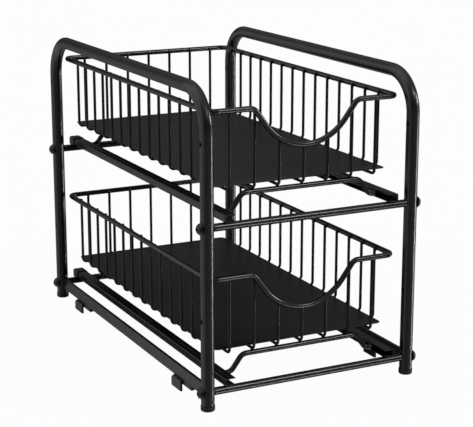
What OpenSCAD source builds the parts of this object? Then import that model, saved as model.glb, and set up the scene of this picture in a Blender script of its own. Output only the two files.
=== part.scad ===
// Two-tier pull-out basket stand for a kitchen cabinet.
// Two bent tube hoops carry four crossbars, the crossbars carry four C rails,
// and each of the two wire baskets runs in a pair of rails.
// X is the width, +Y the back and +Z up. The origin is on the floor, midway
// between the four feet. All sizes are in millimetres.

/* [Stand] */
// Overall width, over the bolt heads
stand_w = 210; // [200:1:260]
// Overall depth, over the feet
stand_d = 355.6; // [340:0.1:420]
// Overall height, from the floor to the top of the hoops
stand_h = 269.2; // [262:0.1:330]
// Outer diameter of the hoop tube
tube_d = 11.2; // [10:0.1:13]
// Wall thickness of the hoop tube
tube_wall = 1; // [0.8:0.1:1.5]
// Centreline radius of the two upper bends of a hoop
hoop_bend_r = 34; // [25:0.5:45]

/* [Crossbars and bolts] */
// Diameter of a crossbar
bar_d = 6.6; // [6:0.1:8]
// Height of the lower crossbars' axis above the floor
bar_z = 15.5; // [14.5:0.1:18]
// Height from the lower tier to the upper tier
tier_pitch = 138.6; // [125:0.1:145]
// Diameter of a bolt head
bolt_head_d = 10; // [8:0.1:11]
// Height of a bolt head
bolt_head_h = 3.5; // [2.5:0.1:4]
// Diameter of a bolt shank
bolt_d = 4; // [3:0.1:4.4]
// How deep a bolt reaches into its crossbar
bolt_reach = 12; // [8:0.5:18]
// Width across the flats of the hexagon socket in a bolt head
socket_af = 3; // [2:0.1:4]
// Depth of the hexagon socket
socket_depth = 2; // [1:0.1:2.4]
// Play around a bolt shank, on the radius
bolt_play = 0.1; // [0.05:0.05:0.3]
// Diameter of a spare hole in a leg
spare_hole_d = 4; // [3:0.1:5]
// Height of the lower spare holes
spare_hole_low_z = 76.9; // [50:0.1:110]
// How far the upper spare holes lie below the top of the hoops
spare_hole_drop = 46.7; // [42:0.1:70]

/* [Feet] */
// Diameter of a foot
foot_d = 12; // [11.8:0.1:15]
// Height of the visible part of a foot
foot_h = 4.4; // [3:0.1:7]
// Radius of the lower edge of a foot
foot_edge_r = 1.2; // [0.8:0.1:2.5]
// Length of the plug that goes up into the tube
foot_plug_l = 6; // [4:0.1:6.5]
// Gap between the plug's ribs and the tube, on the radius
foot_plug_gap = 0.05; // [0:0.05:0.2]

/* [Side strips] */
// Thickness of a side strip
strip_t = 3.4; // [2.5:0.1:4.5]
// Height of a side strip
strip_h = 11; // [9:0.1:12]
// Radius of the strip's long edges
strip_edge_r = 0.8; // [0.4:0.1:1.2]
// How far a strip's middle lies inside the middle of its legs
strip_inset = 0.6; // [0:0.1:1.2]
// Distance from the middle of the stand to the tongue's end of one anchor
anchor_end_y = 127.8; // [115:0.1:140]
// Distance from the middle of the stand to the body's end of the other anchor
anchor_start_y = 105.8; // [90:0.1:120]
// Length of an anchor's body along the strip
anchor_body_l = 36; // [28:0.5:45]
// Height of an anchor's body
anchor_body_h = 3.6; // [2.5:0.1:4.5]
// Width of an anchor's tongue
anchor_tongue_w = 19; // [14:0.5:24]
// Thickness of an anchor's tongue
anchor_tongue_t = 2.2; // [1.5:0.1:4]
// Gap between an anchor's tongue and the floor
anchor_floor_gap = 0.3; // [0.2:0.1:3]
// Size of the cut-off upper corner of a tongue
anchor_chamfer = 2.5; // [1:0.1:4]

/* [Rails] */
// Distance from the middle of a leg to the outer face of the rail beside it
rail_inset = 14.4; // [13:0.1:20]
// Width of a rail, from its web to its open side
rail_w = 9.4; // [8.6:0.1:11]
// Sheet thickness of a rail
rail_t = 0.8; // [0.6:0.1:1]
// Outer radius of the rail's two folded edges
rail_fold_r = 1.3; // [1:0.1:1.6]
// Gap between a runner rod and the rail's flanges
runner_gap = 0.3; // [0.2:0.05:0.5]
// Gap between a runner rod and the rail's web
web_gap = 1.6; // [1.4:0.05:1.8]
// How far the stop pad stands out of the rail's web
stop_pad_t = 1.1; // [1:0.05:1.2]
// Length of the stop pad and of the stop lug
stop_l = 5; // [4:0.5:8]
// How far a basket can be pulled out
travel = 230; // [180:1:235]
// Wall thickness of the cap on a rail's rear end
cap_t = 0.9; // [0.6:0.1:1.2]
// How far a cap reaches over its rail
cap_l = 10.5; // [8:0.5:18]

/* [Baskets] */
// Gap between a basket's rim and the legs beside it
rim_gap = 1; // [0.5:0.1:3]
// Diameter of the rim wire
rim_d = 4.8; // [4:0.1:5.2]
// How far a basket's front rim wire lies behind the middle of the front legs
rim_front_inset = 11.5; // [9:0.1:16]
// How far a basket's rear rim wire lies in front of the middle of the rear legs
rim_rear_inset = 4.1; // [3:0.1:8]
// Height of the rim's axis above its tier's crossbars
rim_rise = 90.8; // [85:0.1:95]
// Centreline radius of the rim's corners
rim_corner_r = 7; // [5:0.1:10]
// Depth of the dip in the front rim
dip_depth = 33.5; // [25:0.5:40]
// Centreline radius of the dip's bottom
dip_r = 46; // [40:0.5:60]
// Centreline radius of the dip's two shoulders
dip_shoulder_r = 8; // [5:0.5:12]
// Diameter of the basket's thin wires
wire_d = 2.2; // [1.8:0.1:2.4]
// Centreline radius of the thin wires' bends
wire_bend_r = 4; // [3.6:0.1:4.4]
// Number of wires that go round from side to side
side_wires = 14; // [8:1:15]
// Distance from a basket's end walls to the nearest wire from side to side
side_wire_end_gap = 19.6; // [15:0.1:25]
// Number of wires that go round from front to back
end_wires = 7; // [3:2:7]
// Distance from a basket's side walls to the nearest wire from front to back
end_wire_side_gap = 14.6; // [10:0.1:20]
// Height of the floor plate's top above its tier's crossbars
plate_rise = 28.6; // [26:0.1:31]
// Thickness of the floor plate
plate_t = 0.8; // [0.6:0.1:1]
// Gap between the floor plate's edge and the wires at the sides and front
plate_gap = 1.2; // [1:0.1:2]
// Gap between the floor plate's edge and the wires at the back
plate_rear_gap = 3.1; // [1:0.1:5]
// Radius of the corners of the sheet
plate_corner_r = 4.5; // [1:0.1:8]
// Gap left where two wires are spot welded
weld_gap = 0.05; // [0:0.05:0.1]

/* [Supports] */
// Diameter of the support wires and runner rods
runner_d = 4.6; // [4:0.1:4.8]
// Distance from the front rim wire back to the front support wire
support_front_inset = 6.9; // [5:0.1:15]
// Distance from the rear rim wire forward to the rear support wire
support_rear_inset = 22.5; // [22:0.1:30]
// Centreline radius of the support wires' bends
support_bend_r = 8; // [6:0.5:9]
// Centreline radius where a support wire turns into its rail
runner_turn_r = 6; // [5:0.1:6.5]
// Length of the straight piece between a support wire's last bend and its turn
turn_lead_l = 1; // [0.5:0.1:2]
// How much thinner a heavy wire is along its bends
bend_slim = 0.02; // [0.01:0.01:0.05]
// How far a bend's end reaches into the straight wire next to it
bend_tuck = 0.02; // [0.01:0.01:0.05]

/* [Hidden] */

$fn = 48;
eps = 0.01;

// Stand
tube_r = tube_d / 2;
leg_x = stand_w / 2 - bolt_head_h - tube_r;
leg_y = (stand_d - foot_d) / 2;
hoop_top_z = stand_h - tube_r;
tube_bore_d = tube_d - 2 * tube_wall;
crossbar_end_x = leg_x - tube_r;
bolt_seat_x = leg_x + tube_r;
bolt_hole_d = bolt_d + 2 * bolt_play;
strip_bottom_z = bar_z - strip_h / 2;

// Rails
rail_h = runner_d + 2 * runner_gap + 2 * rail_t;
rail_web_x = leg_x - rail_inset;
rail_rise = bar_d / 2;
rail_end_y = leg_y + bar_d / 2;
rail_mid_rise = rail_rise + rail_h / 2;
runner_x = rail_web_x - rail_t - web_gap - runner_d / 2;

// Baskets
rim_x = leg_x - tube_r - rim_gap - rim_d / 2;
rim_front_y = rim_front_inset - leg_y;
rim_rear_y = leg_y - rim_rear_inset;
rim_to_wire = (rim_d + wire_d) / 2 + weld_gap;
side_wall_x = rim_x - rim_to_wire;
front_wall_y = rim_front_y + rim_to_wire;
rear_wall_y = rim_rear_y - rim_to_wire;
side_wire_start_y = front_wall_y + side_wire_end_gap;
side_wire_pitch = (rear_wall_y - front_wall_y - 2 * side_wire_end_gap) / (side_wires - 1);
end_wire_pitch = 2 * (side_wall_x - end_wire_side_gap) / (end_wires - 1);
side_wire_rise = plate_rise - plate_t - wire_d / 2 - weld_gap;
end_wire_rise = side_wire_rise - wire_d - weld_gap;
support_rise = end_wire_rise - (wire_d + runner_d) / 2 - weld_gap;

// Sloping parts of the bent wires fall 4 for every 3 along
slope = atan2(4, 3);
slope_sin = 4 / 5;
slope_cos = 3 / 5;

// The dip: a bottom arc, two straight slopes and two shoulder arcs
dip_centre_rise = dip_r - dip_depth;
dip_slope_l = (dip_depth - (dip_r + dip_shoulder_r) * (1 - slope_cos)) / slope_sin;
dip_low_x = dip_r * slope_sin;
dip_high_x = dip_low_x + dip_slope_l * slope_cos;
dip_shoulder_x = dip_high_x + dip_shoulder_r * slope_sin;

// Supports
support_front_y = rim_front_y + support_front_inset;
support_rear_y = rim_rear_y - support_rear_inset;
turn_x = runner_x - runner_turn_r;
support_drop = support_rise - rail_mid_rise;
support_slope_l = (support_drop - 2 * support_bend_r * (1 - slope_cos)) / slope_sin;
low_bend_x = turn_x - turn_lead_l;
cross_end_x = low_bend_x - 2 * support_bend_r * slope_sin - support_slope_l * slope_cos;

// Stops: the lug on a runner meets the pad in its rail when the basket is fully out
runner_front_y = support_front_y + runner_turn_r;
runner_rear_y = support_rear_y - runner_turn_r;
stop_lug_y = runner_rear_y - 2 * stop_l;
stop_pad_y = stop_lug_y - travel - stop_l - runner_gap;
stop_lug_reach = web_gap - runner_gap;
cap_nose_y = support_rear_y + runner_d / 2 + runner_gap;

frame_colour = [0.09, 0.09, 0.1];
plastic_colour = [0.05, 0.05, 0.055];
wire_colour = [0.07, 0.07, 0.08];
plate_colour = [0.13, 0.13, 0.145];
bolt_colour = [0.12, 0.12, 0.13];

// A straight round bar from point a to point b
module rod(a, b, d) {
    v = b - a;
    l = norm(v);
    translate(a)
        rotate([0, acos(v[2] / l), atan2(v[1], v[0])])
            cylinder(d = d, h = l);
}

// A round bar bent in the XY plane about c, from angle a0 through the angle turn
module bend_xy(c, r, d, a0, turn) {
    translate(c)
        rotate([0, 0, a0])
            rotate_extrude(angle = turn)
                translate([r, 0])
                    circle(d = d);
}

// A round bar bent in the XZ plane about c, with angles from +X towards +Z
module bend_xz(c, r, d, a0, turn) {
    translate(c)
        rotate([90, 0, 0])
            rotate([0, 0, a0])
                rotate_extrude(angle = turn)
                    translate([r, 0])
                        circle(d = d);
}

// A bend between two straight heavy wires: it is slimmer and its ends reach into them
module slim_bend_xz(c, r, d, a0, turn) {
    tuck = bend_tuck / r * 180 / PI;
    bend_xz(c, r, d - bend_slim, a0 - tuck, turn + 2 * tuck);
}

// A round bar bent in the YZ plane about c, with angles from +Y towards +Z
module bend_yz(c, r, d, a0, turn) {
    translate(c)
        rotate([90, 0, 90])
            rotate([0, 0, a0])
                rotate_extrude(angle = turn)
                    translate([r, 0])
                        circle(d = d);
}

// A rectangle with its centre at the origin and round corners
module rounded_rect(w, h, r) {
    square([w - 2 * r, h], center = true);
    square([w, h - 2 * r], center = true);
    for (x = [-1, 1], y = [-1, 1])
        translate([x * (w / 2 - r), y * (h / 2 - r)])
            circle(r = r);
}

// ---------------------------------------------------------------- stand

// The solid outline of a hoop, for a bar of diameter d: two legs, two bends and a top
module hoop_outline(d) {
    shoulder_z = hoop_top_z - hoop_bend_r;
    inner_y = leg_y - hoop_bend_r;
    for (s = [-1, 1])
        rod([0, s * leg_y, foot_h], [0, s * leg_y, shoulder_z], d);
    bend_yz([0, inner_y, shoulder_z], hoop_bend_r, d, 0, 90);
    bend_yz([0, -inner_y, shoulder_z], hoop_bend_r, d, 90, 90);
    rod([0, -inner_y, hoop_top_z], [0, inner_y, hoop_top_z], d);
}

// A hoop on side s (-1 left, 1 right): a bent tube, drilled for bolts and with spare holes
module hoop(s) {
    color(frame_colour)
        translate([s * leg_x, 0, 0])
            difference() {
                hoop_outline(tube_d);
                hoop_outline(tube_bore_d);
                for (y = [-leg_y, leg_y]) {
                    for (z = [bar_z, bar_z + tier_pitch])
                        rod([-tube_d, y, z], [tube_d, y, z], bolt_hole_d);
                    for (z = [spare_hole_low_z, stand_h - spare_hole_drop])
                        rod([-tube_d, y, z], [tube_d, y, z], spare_hole_d);
                }
                // open lower ends of the bore
                for (y = [-leg_y, leg_y])
                    rod([0, y, foot_h - 1], [0, y, foot_h + 1], tube_bore_d);
            }
}

// A foot under the leg at side sx and end sy: a round-edged disc with a ribbed plug
module foot(sx, sy) {
    plug_r = tube_bore_d / 2 - foot_plug_gap;
    core_r = plug_r - 0.6;
    rib_h = foot_plug_l / 6;
    color(plastic_colour)
        translate([sx * leg_x, sy * leg_y, 0]) {
            rotate_extrude() {
                square([foot_d / 2 - foot_edge_r, foot_h]);
                translate([0, foot_edge_r])
                    square([foot_d / 2, foot_h - foot_edge_r]);
                intersection() {
                    translate([foot_d / 2 - foot_edge_r, foot_edge_r])
                        circle(r = foot_edge_r);
                    square([foot_d, foot_h]);
                }
            }
            translate([0, 0, foot_h - eps])
                cylinder(r = core_r, h = foot_plug_l + eps);
            for (i = [0 : 2])
                translate([0, 0, foot_h + (2 * i + 0.5) * rib_h])
                    cylinder(r = plug_r, h = rib_h);
        }
}

// A crossbar at depth y and height z, with a blind bolt hole in each end
module crossbar(y, z) {
    color(frame_colour)
        difference() {
            rod([-crossbar_end_x, y, z], [crossbar_end_x, y, z], bar_d);
            for (s = [-1, 1])
                rod([s * (crossbar_end_x - bolt_reach - 1), y, z],
                    [s * (crossbar_end_x + 1), y, z], bolt_hole_d);
        }
}

// A domed bolt that lies along +X, with its head's seat at the origin
module bolt() {
    shank_l = tube_d + bolt_reach;
    head_r = bolt_head_d / 2;
    socket_r = socket_af / 2 / cos(30);
    flat_r = socket_r + 0.3;
    dome_z = (flat_r * flat_r + bolt_head_h * bolt_head_h - head_r * head_r)
        / (2 * bolt_head_h);
    dome_r = sqrt(head_r * head_r + dome_z * dome_z);
    rotate([0, 90, 0])
        difference() {
            union() {
                translate([0, 0, -shank_l])
                    cylinder(d = bolt_d, h = shank_l + eps);
                rotate_extrude()
                    intersection() {
                        translate([0, dome_z])
                            circle(r = dome_r, $fn = 96);
                        square([head_r, bolt_head_h]);
                    }
            }
            translate([0, 0, bolt_head_h - socket_depth])
                cylinder(r = socket_r, h = socket_depth + 1, $fn = 6);
        }
}

// The four bolts of the tier whose crossbars lie at height z
module tier_bolts(z) {
    color(bolt_colour)
        for (s = [-1, 1], y = [-leg_y, leg_y])
            translate([s * bolt_seat_x, y, z])
                rotate([0, 0, s > 0 ? 0 : 180])
                    bolt();
}

// The flat strip between the two legs on side s, welded to them
module side_strip(s) {
    color(frame_colour)
        difference() {
            translate([s * (leg_x - strip_inset), leg_y, bar_z])
                rotate([90, 0, 0])
                    linear_extrude(2 * leg_y)
                        rounded_rect(strip_t, strip_h, strip_edge_r);
            for (y = [-leg_y, leg_y])
                translate([s * leg_x, y, 0])
                    cylinder(d = tube_d, h = stand_h / 2);
        }
}

// One anchor under a strip: a body along the strip and a tongue on its -X side
module anchor() {
    body_top = strip_bottom_z;
    tongue_h = strip_bottom_z - anchor_floor_gap;
    translate([-strip_t / 2, -anchor_body_l, body_top - anchor_body_h])
        cube([strip_t, anchor_body_l, anchor_body_h]);
    translate([-strip_t / 2, 0, anchor_floor_gap])
        rotate([90, 0, -90])
            linear_extrude(anchor_tongue_t)
                polygon([[0, 0], [anchor_tongue_w, 0], [anchor_tongue_w, tongue_h],
                    [anchor_chamfer, tongue_h], [0, tongue_h - anchor_chamfer]]);
}

// The front and rear anchors of the strip on side s; on the right they face the front
module strip_anchors(s) {
    color(frame_colour)
        translate([s * (leg_x - strip_inset), 0, 0])
            mirror([0, s > 0 ? 1 : 0, 0])
                for (end_y = [anchor_end_y, -anchor_start_y])
                    translate([0, end_y, 0])
                        anchor();
}

// The section of a rail: web on the +X side, open towards -X
module rail_section() {
    inner_fold_r = rail_fold_r - rail_t;
    difference() {
        translate([-rail_w / 2, 0])
            rounded_rect(rail_w, rail_h, rail_fold_r);
        translate([-rail_w / 2 - rail_t, 0])
            rounded_rect(rail_w, rail_h - 2 * rail_t, inner_fold_r);
        // square off the two free edges
        translate([-rail_w - eps, -rail_h])
            square([rail_fold_r + eps, 2 * rail_h]);
    }
    for (m = [0, 1])
        mirror([0, m])
            translate([-rail_w, rail_h / 2 - rail_t])
                square([rail_fold_r + eps, rail_t]);
}

// A rail on side s, on the crossbars at height z, with the stop pad on its web
module rail(s, z) {
    color(frame_colour)
        mirror([s > 0 ? 0 : 1, 0, 0])
            translate([rail_web_x, 0, z + rail_mid_rise]) {
                translate([0, rail_end_y, 0])
                    rotate([90, 0, 0])
                        linear_extrude(2 * rail_end_y)
                            rail_section();
                translate([-rail_t - stop_pad_t, stop_pad_y, -runner_d / 4])
                    cube([stop_pad_t + eps, stop_l, runner_d / 2]);
            }
}

// The cap on the rear end of a rail on side s: a hood over the end and a nose inside
module rail_cap(s, z) {
    hood_w = rail_w + 2 * cap_t;
    hood_h = rail_h + cap_t;
    nose_w = rail_w - rail_t - 2 * weld_gap;
    nose_h = rail_h - 2 * rail_t - 2 * weld_gap;
    hood_y = rail_end_y - cap_l;
    mirror([s > 0 ? 0 : 1, 0, 0])
        translate([rail_web_x + cap_t, 0, z + rail_rise])
            difference() {
                union() {
                    translate([-hood_w, hood_y, 0])
                        cube([hood_w, cap_l + cap_t, hood_h - 2]);
                    // rounded top of the hood
                    translate([-hood_w / 2, rail_end_y + cap_t, hood_h / 2 + 0.5])
                        rotate([90, 0, 0])
                            linear_extrude(cap_l + cap_t)
                                rounded_rect(hood_w, hood_h - 1, 2);
                    translate([-cap_t - rail_t - weld_gap - nose_w, cap_nose_y,
                        rail_t + weld_gap])
                        cube([nose_w, hood_y - cap_nose_y + 1, nose_h]);
                }
                // room for the rail's web and flanges
                translate([-cap_t, rail_end_y + weld_gap, rail_h / 2])
                    rotate([90, 0, 0])
                        linear_extrude(cap_l + 10)
                            rail_seat();
            }
}

// The section of the slot that a cap keeps free for its rail
module rail_seat() {
    difference() {
        translate([-rail_w / 2, 0])
            square([rail_w + 2 * weld_gap, rail_h + 2 * weld_gap], center = true);
        translate([-rail_t - weld_gap - rail_w, -rail_h / 2 + rail_t + weld_gap])
            square([rail_w, rail_h - 2 * rail_t - 2 * weld_gap]);
    }
}

// The two caps of the tier whose crossbars lie at height z
module tier_caps(z) {
    color(plastic_colour)
        for (s = [-1, 1])
            rail_cap(s, z);
}

// ---------------------------------------------------------------- baskets

// Height of the front rim's axis above the straight rim, at x
function dip_z(x) =
    abs(x) >= dip_shoulder_x ? 0
    : abs(x) >= dip_high_x
        ? sqrt(pow(dip_shoulder_r, 2) - pow(dip_shoulder_x - abs(x), 2)) - dip_shoulder_r
    : abs(x) >= dip_low_x
        ? (abs(x) - dip_high_x) * slope_sin / slope_cos - dip_shoulder_r * (1 - slope_cos)
        : dip_centre_rise - sqrt(pow(dip_r, 2) - x * x);

// The rim of the basket on the crossbars at height z: a closed wire with a dip in front
module rim(z) {
    h = z + rim_rise;
    x_in = rim_x - rim_corner_r;
    front = rim_front_y + rim_corner_r;
    rear = rim_rear_y - rim_corner_r;
    color(frame_colour) {
        for (s = [-1, 1]) {
            rod([s * rim_x, front, h], [s * rim_x, rear, h], rim_d);
            rod([s * dip_shoulder_x, rim_front_y, h], [s * x_in, rim_front_y, h], rim_d);
        }
        rod([-x_in, rim_rear_y, h], [x_in, rim_rear_y, h], rim_d);
        bend_xy([x_in, rear, h], rim_corner_r, rim_d, 0, 90);
        bend_xy([-x_in, rear, h], rim_corner_r, rim_d, 90, 90);
        bend_xy([-x_in, front, h], rim_corner_r, rim_d, 180, 90);
        bend_xy([x_in, front, h], rim_corner_r, rim_d, 270, 90);
        // the dip: a wide arc below, a slope and a small arc on each side
        slim_bend_xz([0, rim_front_y, h + dip_centre_rise], dip_r, rim_d,
            270 - slope, 2 * slope);
        for (s = [-1, 1])
            rod([s * dip_low_x, rim_front_y, h + dip_centre_rise - dip_r * slope_cos],
                [s * dip_high_x, rim_front_y, h - dip_shoulder_r * (1 - slope_cos)], rim_d);
        slim_bend_xz([dip_shoulder_x, rim_front_y, h - dip_shoulder_r], dip_shoulder_r, rim_d,
            90, slope);
        slim_bend_xz([-dip_shoulder_x, rim_front_y, h - dip_shoulder_r], dip_shoulder_r, rim_d,
            90 - slope, slope);
    }
}

// One wire that goes down one side wall, under the plate and up the other side wall
module side_wire(y, low_z, top_z) {
    x_in = side_wall_x - wire_bend_r;
    up_z = low_z + wire_bend_r;
    for (s = [-1, 1])
        rod([s * side_wall_x, y, up_z], [s * side_wall_x, y, top_z], wire_d);
    rod([-x_in, y, low_z], [x_in, y, low_z], wire_d);
    bend_xz([x_in, y, up_z], wire_bend_r, wire_d, 270, 90);
    bend_xz([-x_in, y, up_z], wire_bend_r, wire_d, 180, 90);
}

// All wires from side to side of the basket on the crossbars at height z
module basket_side_wires(z) {
    color(wire_colour)
        for (i = [0 : side_wires - 1])
            side_wire(side_wire_start_y + i * side_wire_pitch, z + side_wire_rise, z + rim_rise);
}

// One wire that goes down the front wall, under the plate and up the rear wall
module end_wire(x, low_z, front_top_z, rear_top_z) {
    up_z = low_z + wire_bend_r;
    front = front_wall_y + wire_bend_r;
    rear = rear_wall_y - wire_bend_r;
    rod([x, front_wall_y, up_z], [x, front_wall_y, front_top_z], wire_d);
    rod([x, rear_wall_y, up_z], [x, rear_wall_y, rear_top_z], wire_d);
    rod([x, front, low_z], [x, rear, low_z], wire_d);
    bend_yz([x, front, up_z], wire_bend_r, wire_d, 180, 90);
    bend_yz([x, rear, up_z], wire_bend_r, wire_d, 270, 90);
}

// All wires from front to back of the basket on the crossbars at height z
module basket_end_wires(z) {
    color(wire_colour)
        for (i = [0 : end_wires - 1]) {
            x = (i - (end_wires - 1) / 2) * end_wire_pitch;
            end_wire(x, z + end_wire_rise, z + rim_rise + dip_z(x), z + rim_rise);
        }
}

// The sheet that lies on the wires of the basket on the crossbars at height z
module floor_plate(z) {
    half_w = side_wall_x - wire_d / 2 - plate_gap;
    front = front_wall_y + wire_d / 2 + plate_gap;
    rear = rear_wall_y - wire_d / 2 - plate_rear_gap;
    color(plate_colour)
        translate([0, (front + rear) / 2, z + plate_rise - plate_t])
            linear_extrude(plate_t)
                rounded_rect(2 * half_w, rear - front, plate_corner_r);
}

// One end of a support wire, on side s: it leaves the cross part at depth y, slopes
// down and out to the rail and turns into it, towards the middle of the rail
module support_end(s, y, turn_dir, z) {
    high = z + support_rise;
    low = z + rail_mid_rise;
    r = support_bend_r;
    p1 = [cross_end_x + r * slope_sin, y, high - r * (1 - slope_cos)];
    p2 = [low_bend_x - r * slope_sin, y, low + r * (1 - slope_cos)];
    tuck = bend_tuck / runner_turn_r * 180 / PI;
    mirror([s > 0 ? 0 : 1, 0, 0]) {
        slim_bend_xz([cross_end_x, y, high - r], r, runner_d, 90 - slope, slope);
        rod(p1, p2, runner_d);
        slim_bend_xz([low_bend_x, y, low + r], r, runner_d, 270 - slope, slope);
        rod([low_bend_x, y, low], [turn_x, y, low], runner_d);
        bend_xy([turn_x, y + turn_dir * runner_turn_r, low], runner_turn_r,
            runner_d - bend_slim, turn_dir > 0 ? 270 - tuck : 0, 90 + tuck);
    }
}

// A support wire at depth y, whose ends turn into the rails towards turn_dir
module support(y, turn_dir, z) {
    color(frame_colour) {
        rod([-cross_end_x, y, z + support_rise], [cross_end_x, y, z + support_rise], runner_d);
        for (s = [-1, 1])
            support_end(s, y, turn_dir, z);
    }
}

// The rod that runs in the rail on side s, between the ends of the two support wires
module runner(s, z) {
    color(frame_colour)
        mirror([s > 0 ? 0 : 1, 0, 0])
            translate([0, 0, z + rail_mid_rise]) {
                rod([runner_x, runner_front_y, 0], [runner_x, runner_rear_y, 0], runner_d);
                translate([runner_x, stop_lug_y, -runner_d / 4])
                    cube([runner_d / 2 + stop_lug_reach, stop_l, runner_d / 2]);
            }
}

low_z = bar_z;
high_z = bar_z + tier_pitch;

hoop(-1);  // left_hoop
hoop(1);  // right_hoop
foot(-1, -1);  // front_left_foot
foot(1, -1);  // front_right_foot
foot(-1, 1);  // rear_left_foot
foot(1, 1);  // rear_right_foot
crossbar(-leg_y, low_z);  // lower_front_crossbar
crossbar(leg_y, low_z);  // lower_rear_crossbar
crossbar(-leg_y, high_z);  // upper_front_crossbar
crossbar(leg_y, high_z);  // upper_rear_crossbar
tier_bolts(low_z);  // lower_bolts
tier_bolts(high_z);  // upper_bolts
side_strip(-1);  // left_side_strip
side_strip(1);  // right_side_strip
strip_anchors(-1);  // left_anchors
strip_anchors(1);  // right_anchors
rail(-1, low_z);  // lower_left_rail
rail(1, low_z);  // lower_right_rail
rail(-1, high_z);  // upper_left_rail
rail(1, high_z);  // upper_right_rail
tier_caps(low_z);  // lower_rail_caps
tier_caps(high_z);  // upper_rail_caps
rim(low_z);  // lower_rim
basket_side_wires(low_z);  // lower_side_wires
basket_end_wires(low_z);  // lower_end_wires
floor_plate(low_z);  // lower_floor_plate
support(support_front_y, 1, low_z);  // lower_front_support
support(support_rear_y, -1, low_z);  // lower_rear_support
runner(-1, low_z);  // lower_left_runner
runner(1, low_z);  // lower_right_runner
rim(high_z);  // upper_rim
basket_side_wires(high_z);  // upper_side_wires
basket_end_wires(high_z);  // upper_end_wires
floor_plate(high_z);  // upper_floor_plate
support(support_front_y, 1, high_z);  // upper_front_support
support(support_rear_y, -1, high_z);  // upper_rear_support
runner(-1, high_z);  // upper_left_runner
runner(1, high_z);  // upper_right_runner
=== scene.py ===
"""Looks of the two-tier pull-out basket stand: finer wire work, welds, finishes and the studio."""
import logging
import math
from dataclasses import dataclass
from enum import Enum

import bpy
import numpy as np
from mathutils import Matrix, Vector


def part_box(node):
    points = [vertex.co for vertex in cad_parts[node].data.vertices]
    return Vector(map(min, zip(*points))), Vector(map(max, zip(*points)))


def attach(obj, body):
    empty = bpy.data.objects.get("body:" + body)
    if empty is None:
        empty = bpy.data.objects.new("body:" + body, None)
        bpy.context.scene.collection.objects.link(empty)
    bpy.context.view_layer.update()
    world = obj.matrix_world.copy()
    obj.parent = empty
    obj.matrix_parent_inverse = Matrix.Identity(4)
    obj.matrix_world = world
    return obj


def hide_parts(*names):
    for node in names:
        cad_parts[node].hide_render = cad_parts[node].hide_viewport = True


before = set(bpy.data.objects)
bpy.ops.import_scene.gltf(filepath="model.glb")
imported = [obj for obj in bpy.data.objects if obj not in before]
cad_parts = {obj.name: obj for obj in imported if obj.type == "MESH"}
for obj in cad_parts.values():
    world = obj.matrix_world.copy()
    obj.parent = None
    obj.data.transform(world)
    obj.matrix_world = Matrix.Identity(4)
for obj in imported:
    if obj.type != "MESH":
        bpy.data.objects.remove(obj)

Triple = tuple[float, float, float]
Tint = tuple[float, float, float, float] | bpy.types.NodeSocket
LOG = logging.getLogger("basket_stand")
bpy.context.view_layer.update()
MM = 0.001
SLOPE = math.atan2(4, 3)  # the bent wires fall 4 for every 3 along
SIGNS = np.array([-1, 1])  # of X on the left and right, of Y in front and behind
RNG = np.random.default_rng(7)


# ---- surfaces


NO_TRIS = np.zeros((0, 3), int)
DOME_ANGLES = np.radians([25.0, 50.0, 72.0, 84.0])  # rings of a wire's domed end
POLE_STEP = 0.004  # how far a dome goes on past its last ring, as a share of the radius
BEAD_SWING = 0.12  # how much larger or smaller than the average a weld bead can be
CORNER_STEPS = 8  # points at each round corner of a sheet
EDGE_ANGLES = np.radians([-90.0, -45.0, 0.0, 0.0, 45.0, 90.0])  # rings round a sheet's edge
INNER_RINGS = np.array([0.25, 0.5, 0.75, 0.9])  # a sheet's flat rings, as shares of its size
SHARP_ANGLE = math.radians(40)  # an edge that turns further than this gets a bevel


@dataclass
class Shell:
    """A closed surface made of quads and triangles.

    Fields: points is (n, 3) in metres, quads is (m, 4) and tris is (k, 3).
    """

    points: np.ndarray
    quads: np.ndarray
    tris: np.ndarray

    def __add__(self, other: "Shell") -> "Shell":
        """Joins two shells into one mesh without merging their points.

        Args:
            other: the shell whose points come last.

        Returns:
            The new shell.
        """
        shift = len(self.points)
        return Shell(np.concatenate([self.points, other.points]),
                     np.concatenate([self.quads, other.quads + shift]),
                     np.concatenate([self.tris, other.tris + shift]))

    def repeat(self, offsets: np.ndarray) -> "Shell":
        """Copies the shell to several places.

        Every copy's points are the shell's points plus one row of offsets, and its
        faces are the shell's faces plus that copy's share of the point count.

        Args:
            offsets: (c, 3) moves in metres.

        Returns:
            One shell with c copies.
        """
        copies, size = len(offsets), len(self.points)
        shift = (np.arange(copies) * size)[:, None, None]
        return Shell((offsets[:, None] + self.points[None]).reshape(-1, 3),
                     (self.quads[None] + shift).reshape(-1, 4),
                     (self.tris[None] + shift).reshape(-1, 3))

    def build(self, name: str, smooth: bool = True) -> bpy.types.Object:
        """Puts the shell into a new mesh object at the origin.

        Args:
            name: the piece's name.
            smooth: whether its faces are shaded smooth.

        Returns:
            The new object.
        """
        mesh = bpy.data.meshes.new(name)
        mesh.from_pydata(self.points.tolist(), [], self.quads.tolist() + self.tris.tolist())
        mesh.polygons.foreach_set("use_smooth", np.full(len(mesh.polygons), smooth))
        mesh.validate()
        piece = bpy.data.objects.new(name, mesh)
        bpy.context.scene.collection.objects.link(piece)
        return piece


def join(shells: list[Shell]) -> Shell:
    """Joins several shells, keeping their order."""
    return sum(shells[1:], shells[0])


def points_at(*parts: np.ndarray | float) -> np.ndarray:
    """Points on a new last axis, from coordinates that are broadcast to one shape."""
    return np.stack(np.broadcast_arrays(*parts), -1)


def unit(vectors: np.ndarray) -> np.ndarray:
    """Scales vectors on the last axis to length one."""
    return vectors / np.linalg.norm(vectors, axis=-1, keepdims=True)


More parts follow.
